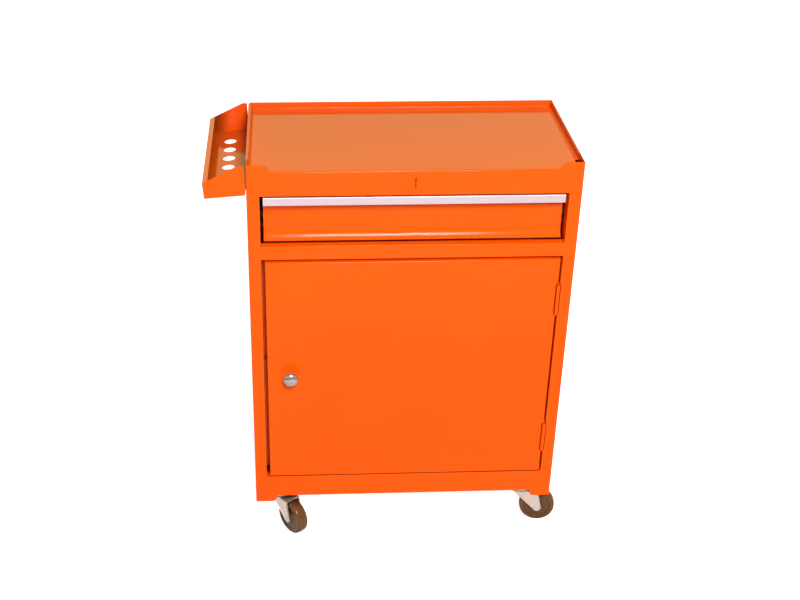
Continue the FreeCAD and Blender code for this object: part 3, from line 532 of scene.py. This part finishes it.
tree.links.new(shader.outputs["BSDF"], output.inputs["Surface"])

mm = 0.001
wheel_radius = 31.75 * mm
half_width = 10.5 * mm
shoulder = 5.0 * mm
tread_crown = 0.6 * mm
bore = 6.02 * mm
boss = 11.0 * mm
dish = 23.0 * mm
dish_depth = 1.5 * mm
soften = 0.5 * mm
side = arc((wheel_radius - tread_crown - shoulder, half_width - shoulder), shoulder, 5, 90, steps=8)
side += [(dish + soften, half_width), (dish, half_width - soften), (dish - soften, half_width - dish_depth)]
side += [(boss + soften, half_width - dish_depth), (boss, half_width - soften), (boss - soften, half_width)]
side += [(bore + soften, half_width), (bore, half_width - soften)]
wheel_outline = [(wheel_radius, 0)] + side + [(radius, -height) for radius, height in side[::-1]]
axle_head = 5.2 * mm
axle_shank = 4.0 * mm
axle_seat = 15.0 * mm
axle_rim = axle_seat + 0.3 * mm
axle_face = axle_seat + 0.6 * mm
axle_swell = axle_seat + 0.65 * mm
axle_chamfer = 0.5 * mm
axle_swell_radius = 2.4 * mm
axle_end = [(axle_shank, axle_seat), (axle_head, axle_seat), (axle_head, axle_rim),
            (axle_head - axle_chamfer, axle_face), (axle_swell_radius, axle_swell), (0, axle_face)]
axle_outline = [(radius, -height) for radius, height in axle_end[::-1]] + axle_end
trail = 31.0 * mm
crown_level = 65.5 * mm
bead_radius = 0.7 * mm
leg_face = 14.8 * mm
leg_tip = 6.5 * mm
leg_inner = -11.8 * mm
leg_outer = 29.0 * mm
leg_edge = [(leg_inner, crown_level)] + arc((trail, wheel_radius), leg_tip, 225, 360, steps=12)
leg_edge += [(leg_outer, crown_level)]


def new_tree(name, inputs):
    """A geometry tree with its way in and out, and the named inputs given as socket kinds."""
    tree = bpy.data.node_groups.new(name, "GeometryNodeTree")
    tree.interface.new_socket("Geometry", in_out="INPUT", socket_type="NodeSocketGeometry")
    tree.interface.new_socket("Geometry", in_out="OUTPUT", socket_type="NodeSocketGeometry")
    for label, kind in inputs.items():
        tree.interface.new_socket(label, in_out="INPUT", socket_type=kind)
    return tree, add_node(tree, "NodeGroupInput", {}, {}).outputs


def grown(start_mesh, tree, values):
    """Runs a tree on a mesh, with its named inputs set, and gives the plain mesh that comes out."""
    holder = bpy.data.objects.new("holder", start_mesh)
    bpy.context.scene.collection.objects.link(holder)
    modifier = holder.modifiers.new("grow", "NODES")
    modifier.node_group = tree
    for socket in tree.interface.items_tree:
        if socket.in_out == "INPUT" and socket.name in values:
            modifier[socket.identifier] = values[socket.name]
    ready = holder.evaluated_get(bpy.context.evaluated_depsgraph_get())
    mesh = bpy.data.meshes.new_from_object(ready)
    holder.modifiers.remove(modifier)
    bpy.data.objects.remove(holder)
    return mesh


bead_tree, given = new_tree("pressed_edge", {
    "Bead Radius": "NodeSocketFloat", "Finish": "NodeSocketMaterial"})
path = add_node(bead_tree, "GeometryNodeMeshToCurve", {}, {"Mesh": given["Geometry"]})
ring = add_node(bead_tree, "GeometryNodeCurvePrimitiveCircle", {},
                {"Resolution": 10, "Radius": given["Bead Radius"]})
bead = add_node(bead_tree, "GeometryNodeCurveToMesh", {},
                {"Curve": path.outputs["Curve"], "Profile Curve": ring.outputs["Curve"], "Fill Caps": True})
whole = add_node(bead_tree, "GeometryNodeRealizeInstances", {}, {"Geometry": bead.outputs["Mesh"]})
dressed = add_node(bead_tree, "GeometryNodeSetMaterial", {},
                   {"Geometry": whole.outputs["Geometry"], "Material": given["Finish"]})
add_node(bead_tree, "NodeGroupOutput", {}, {"Geometry": dressed.outputs["Geometry"]})

# Each caster's place in mm, and how far it is swivelled in degrees.
corners = {"front_left": (-214, -106, -53), "front_right": (214, -106, -8),
           "rear_left": (-214, 106, 24), "rear_right": (214, 106, -38)}
for corner, (x, y, swivel) in corners.items():
    turn = Matrix.Translation((x * mm, y * mm, 0)) @ Matrix.Rotation(math.radians(swivel), 4, "Z")
    hub = turn @ Matrix.Translation((trail, 0, wheel_radius)) @ Matrix.Rotation(math.radians(90), 4, "X")
    wheel = new_piece(corner + "_wheel", turned(wheel_outline, hub, segments=72), brown,
                      corner + "_roller", turned_crease)
    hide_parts(corner + "_caster_wheel")
    axle = new_piece(corner + "_axle_rivet", turned(axle_outline, hub, segments=32), zinc,
                     corner + "_swivel", turned_crease)
    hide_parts(corner + "_caster_axle")
    points = [turn @ Vector((along, face, level)) for face in (-leg_face, leg_face)
              for along, level in leg_edge]
    count = len(leg_edge)
    edges = [(start + step, start + step + 1) for start in (0, count) for step in range(count - 1)]
    path_mesh = bpy.data.meshes.new("leg_edges")
    path_mesh.from_pydata(points, edges, [])
    beads = grown(path_mesh, bead_tree, {"Bead Radius": bead_radius, "Finish": zinc})
    new_piece(corner + "_fork_beads", beads, zinc, corner + "_swivel", turned_crease)
    finish_nodes(zinc, [corner + "_caster_" + piece for piece in ("plate", "fork", "kingpin", "bush")])
    finish_nodes(chrome, [corner + "_caster_balls"])

# Caster bolts and nuts: domed bolts up through plate and bottom panel, four to a caster, and a
# hexagon nut on each inside the cupboard. Cold-headed steel, zinc plated like the casters.
fastener_tree, given = new_tree("caster_fasteners", {
    "Caster Spacing X": "NodeSocketFloat", "Caster Spacing Y": "NodeSocketFloat",
    "Bolt Spacing": "NodeSocketFloat", "Finish": "NodeSocketMaterial"})
plate = add_node(fastener_tree, "GeometryNodeMeshGrid", {},
                 {"Size X": given["Bolt Spacing"], "Size Y": given["Bolt Spacing"],
                  "Vertices X": 2, "Vertices Y": 2})
base = add_node(fastener_tree, "GeometryNodeMeshGrid", {},
                {"Size X": given["Caster Spacing X"], "Size Y": given["Caster Spacing Y"],
                 "Vertices X": 2, "Vertices Y": 2})
four = add_node(fastener_tree, "GeometryNodeInstanceOnPoints", {},
                {"Points": plate.outputs["Mesh"], "Instance": given["Geometry"]})
sixteen = add_node(fastener_tree, "GeometryNodeInstanceOnPoints", {},
                   {"Points": base.outputs["Mesh"], "Instance": four.outputs["Instances"]})
whole = add_node(fastener_tree, "GeometryNodeRealizeInstances", {},
                 {"Geometry": sixteen.outputs["Instances"]})
dressed = add_node(fastener_tree, "GeometryNodeSetMaterial", {},
                   {"Geometry": whole.outputs["Geometry"], "Material": given["Finish"]})
add_node(fastener_tree, "NodeGroupOutput", {}, {"Geometry": dressed.outputs["Geometry"]})

spacing = {"Caster Spacing X": 0.428, "Caster Spacing Y": 0.212, "Bolt Spacing": 0.038, "Finish": zinc}
bolt_low, bolt_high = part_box("caster_bolts")
nut_low, nut_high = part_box("caster_nuts")
bolt_dome = [(0, 0), (1.8, 0.15), (3.3, 0.7), (4.3, 1.6), (4.8, 2.6), (4.8, 3.2)]
bolt_seat = bolt_low.z + 3.2 * mm
bolt_shank = 3.0 * mm
bolt_point = 0.5 * mm
bolt_outline = [(radius * mm, bolt_low.z + rise * mm) for radius, rise in bolt_dome]
bolt_outline += [(bolt_shank, bolt_seat), (bolt_shank, bolt_high.z - bolt_point)]
bolt_outline += [(bolt_shank - bolt_point, bolt_high.z), (0, bolt_high.z)]
bolt_mesh = grown(turned(bolt_outline, Matrix(), segments=24), fastener_tree, spacing)
bolts = new_piece("domed_caster_bolts", bolt_mesh, zinc, "cabinet", turned_crease)
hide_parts("caster_bolts")
nut_flat = 5.0 * mm
nut_top_flat = nut_flat * 0.97
nut_bore = 3.02 * mm
nut_chamfer = 0.7 * mm
bore_chamfer = 0.3 * mm
nut_crease = 30
nut_outline = [(nut_bore, nut_low.z), (nut_flat, nut_low.z), (nut_flat, nut_high.z - nut_chamfer)]
nut_outline += [(nut_top_flat, nut_high.z), (nut_bore + bore_chamfer, nut_high.z)]
nut_outline += [(nut_bore, nut_high.z - bore_chamfer)]
nut_mesh = grown(turned(nut_outline, Matrix(), segments=24, six_sided=(1, 2)), fastener_tree, spacing)
nuts = new_piece("hexagon_caster_nuts", nut_mesh, zinc, "cabinet", nut_crease)
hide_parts("caster_nuts")

# Studio: a wide pale floor in soft light, and a camera at the photo's viewpoint.
# Seen directly, floor and sky are white, and the floor keeps the shadow. Gloss mirrors a pale room
# with a warm wall behind the cabinet, and the two low rear lamps are kept out of reflections.

# Painted studio floor: a matt near-white with faint cloudy scuffs, lifted to white where the
# camera sees it.
floor_radius = 40.0
floor_lift = 0.85
floor_material, tree, output = new_material("pale_studio_floor")
path = add_node(tree, "ShaderNodeLightPath", {}, {})
lift = add_node(tree, "ShaderNodeMath", {"operation": "MULTIPLY"},
                {0: path.outputs["Is Camera Ray"], 1: floor_lift})
place = add_node(tree, "ShaderNodeTexCoord", {}, {}).outputs["Object"]
dust = add_node(tree, "ShaderNodeTexNoise", {}, {"Vector": place, "Scale": per_mm(400)})
tone = add_node(tree, "ShaderNodeMix", {"data_type": "RGBA"},
                {"Factor": dust.outputs["Fac"], 6: linear("#f1f1f1"), 7: linear("#f5f5f5")})
shader = add_node(tree, "ShaderNodeBsdfPrincipled", {},
                  {"Base Color": tone.outputs[2], "Roughness": 0.9, "Specular IOR Level": 0.0,
                   "Emission Color": (1, 1, 1, 1), "Emission Strength": lift.outputs["Value"]})
tree.links.new(shader.outputs["BSDF"], output.inputs["Surface"])
shape = bmesh.new()
bmesh.ops.create_circle(shape, cap_ends=True, segments=96, radius=floor_radius)
mesh = bpy.data.meshes.new("studio_floor")
shape.to_mesh(mesh)
shape.free()
mesh.materials.append(floor_material)
floor = bpy.data.objects.new("studio_floor", mesh)
bpy.context.scene.collection.objects.link(floor)

fill_light = (0.09, 0.09, 0.09, 1)
mirrored_room = (0.65, 0.65, 0.65, 1)
mirrored_wall = (1.0, 0.95, 0.45, 1)
seen_white = (1, 1, 1, 1)
world = bpy.data.worlds.new("studio_sky")
bpy.context.scene.world = world
world.use_nodes = True
tree = world.node_tree
tree.nodes.clear()
path = add_node(tree, "ShaderNodeLightPath", {}, {})
towards = add_node(tree, "ShaderNodeTexCoord", {}, {}).outputs["Generated"]
bearing = add_node(tree, "ShaderNodeSeparateXYZ", {}, {"Vector": towards})
behind = add_node(tree, "ShaderNodeMapRange", {"interpolation_type": "SMOOTHSTEP"},
                  {"Value": bearing.outputs["Y"], "From Min": 0.1, "From Max": 0.6})
wall = add_node(tree, "ShaderNodeMix", {"data_type": "RGBA"},
                {"Factor": behind.outputs["Result"], 6: mirrored_room, 7: mirrored_wall})
shown = add_node(tree, "ShaderNodeMix", {"data_type": "RGBA"},
                 {"Factor": path.outputs["Is Glossy Ray"], 6: fill_light, 7: wall.outputs[2]})
white = add_node(tree, "ShaderNodeMix", {"data_type": "RGBA"},
                 {"Factor": path.outputs["Is Camera Ray"], 6: shown.outputs[2], 7: seen_white})
sky = add_node(tree, "ShaderNodeBackground", {}, {"Color": white.outputs[2], "Strength": 1.0})
add_node(tree, "ShaderNodeOutputWorld", {}, {"Surface": sky.outputs["Background"]})


def soft_lamp(name, place, aim, width, height, power, mirrored):
    """A soft box that hangs at a place and faces a point, and shows in glossy surfaces or not."""
    lamp = bpy.data.lights.new(name, "AREA")
    lamp.shape = "RECTANGLE"
    lamp.size = width
    lamp.size_y = height
    lamp.energy = power
    holder = bpy.data.objects.new(name, lamp)
    holder.location = place
    holder.rotation_euler = (Vector(aim) - Vector(place)).to_track_quat("-Z", "Y").to_euler()
    holder.visible_glossy = mirrored
    bpy.context.scene.collection.objects.link(holder)


soft_lamp("key_soft_box", place=(0.18, -2.15, 2.33), aim=(0, 0, 0.4), width=0.65, height=1.0, power=90,
          mirrored=True)
for hand, across in (("left", -2.3), ("right", 2.3)):
    soft_lamp("rear_" + hand + "_soft_box", place=(across, 1.9, 0.42), aim=(0, 0, 0.35), width=1.2,
              height=0.4, power=50, mirrored=False)

photo_width = 800
focal_px = 1252.8
axis_px = 347.6
camera = bpy.data.cameras.new("photo_camera")
camera.sensor_width = 36.0
camera.lens = focal_px / photo_width * camera.sensor_width
camera.shift_x = (photo_width / 2 - axis_px) / photo_width
camera.clip_start = 0.05
camera.clip_end = 100.0
stand = Vector((-0.1969, -1.8871, 1.4627))
aim = Vector((-0.0956, 0.0, 0.3962))
roll = math.radians(0.612)
forward = (aim - stand).normalized()
right = forward.cross(Vector((0, 0, 1))).normalized()
up = right.cross(forward)
tilted_right = math.cos(roll) * right + math.sin(roll) * up
tilted_up = math.cos(roll) * up - math.sin(roll) * right
turn = Matrix((tilted_right, tilted_up, -forward)).transposed().to_4x4()
viewpoint = bpy.data.objects.new("photo_camera", camera)
viewpoint.matrix_world = Matrix.Translation(stand) @ turn
bpy.context.scene.collection.objects.link(viewpoint)
bpy.context.scene.camera = viewpoint
bpy.context.scene.view_settings.view_transform = "Standard"
